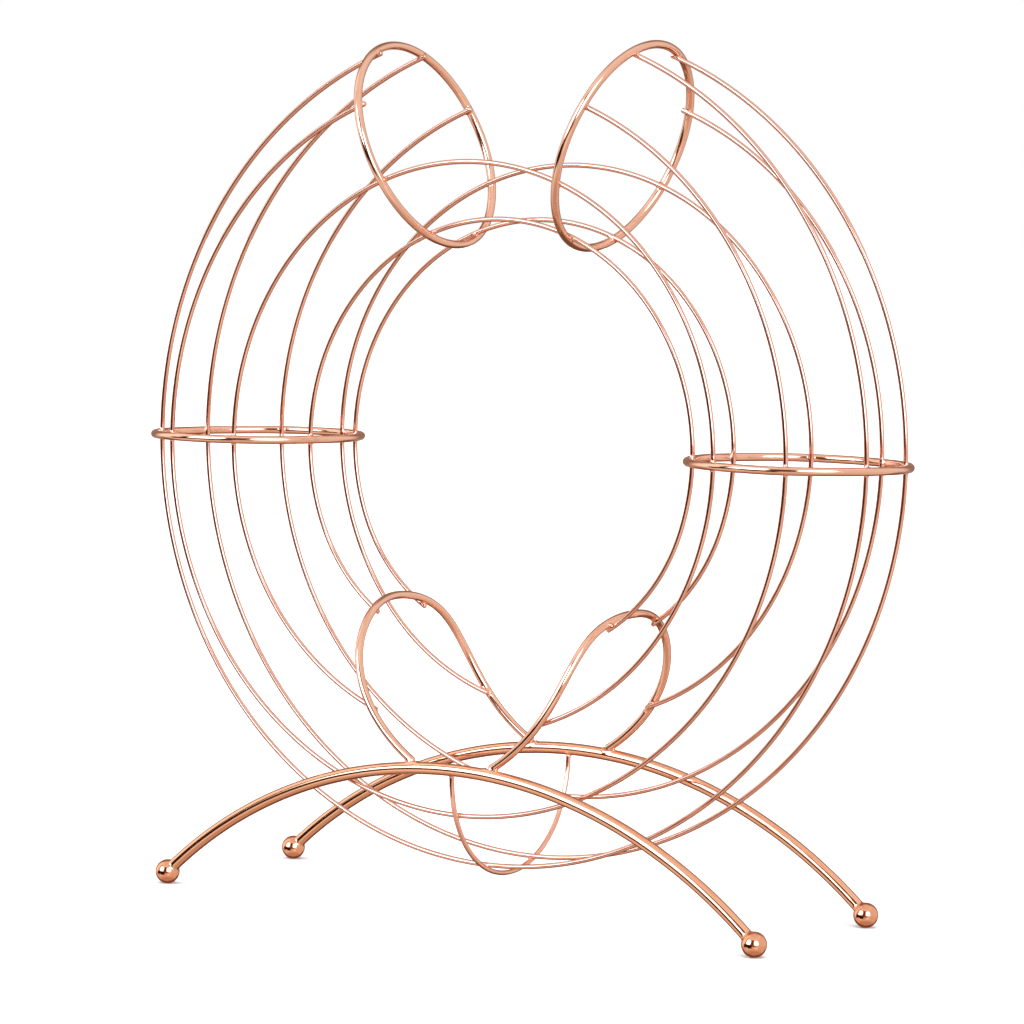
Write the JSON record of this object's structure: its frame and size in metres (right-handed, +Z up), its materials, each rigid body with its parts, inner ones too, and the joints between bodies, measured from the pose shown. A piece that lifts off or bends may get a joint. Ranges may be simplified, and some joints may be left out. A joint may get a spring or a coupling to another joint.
{
  "type": "wire produce basket",
  "caption": "Free-standing wire fruit basket: a round wire cage bent into a ring, open at the top and at a lower gap, on two arched rods with ball feet.",
  "frame": {"origin": "on the floor, under the middle of the basket", "axes": "+Z up, +X to the right along the plane of the ring of cage, +Y to the rear, through the ring"},
  "size_m": [0.4172, 0.118, 0.4169],
  "materials": {
    "thin_wire": "polished copper plate on steel wire",
    "ring_wire": "polished copper plate on steel wire, drawn lines along it",
    "foot_rod": "polished copper plate on steel rod",
    "foot_ball": "polished copper plate, slightly satin"
  },
  "bodies": {
    "root": {"outer_wire_front": "thin_wire", "inner_wire_front": "thin_wire", "outer_wire_mid_front": "thin_wire", "inner_wire_mid_front": "thin_wire", "outer_wire_mid_rear": "thin_wire", "inner_wire_mid_rear": "thin_wire", "outer_wire_rear": "thin_wire", "inner_wire_rear": "thin_wire", "mouth_ring_left": "ring_wire", "mouth_ring_right": "ring_wire", "mid_ring_left": "ring_wire", "mid_ring_right": "ring_wire", "access_hoop_left": "ring_wire", "access_hoop_right": "ring_wire", "cradle_strap": "thin_wire", "foot_arch_front": "foot_rod", "foot_arch_rear": "foot_rod", "ball_foot_front_left": "foot_ball", "ball_foot_front_right": "foot_ball", "ball_foot_rear_left": "foot_ball", "ball_foot_rear_right": "foot_ball"}
  },
  "joints": []
}
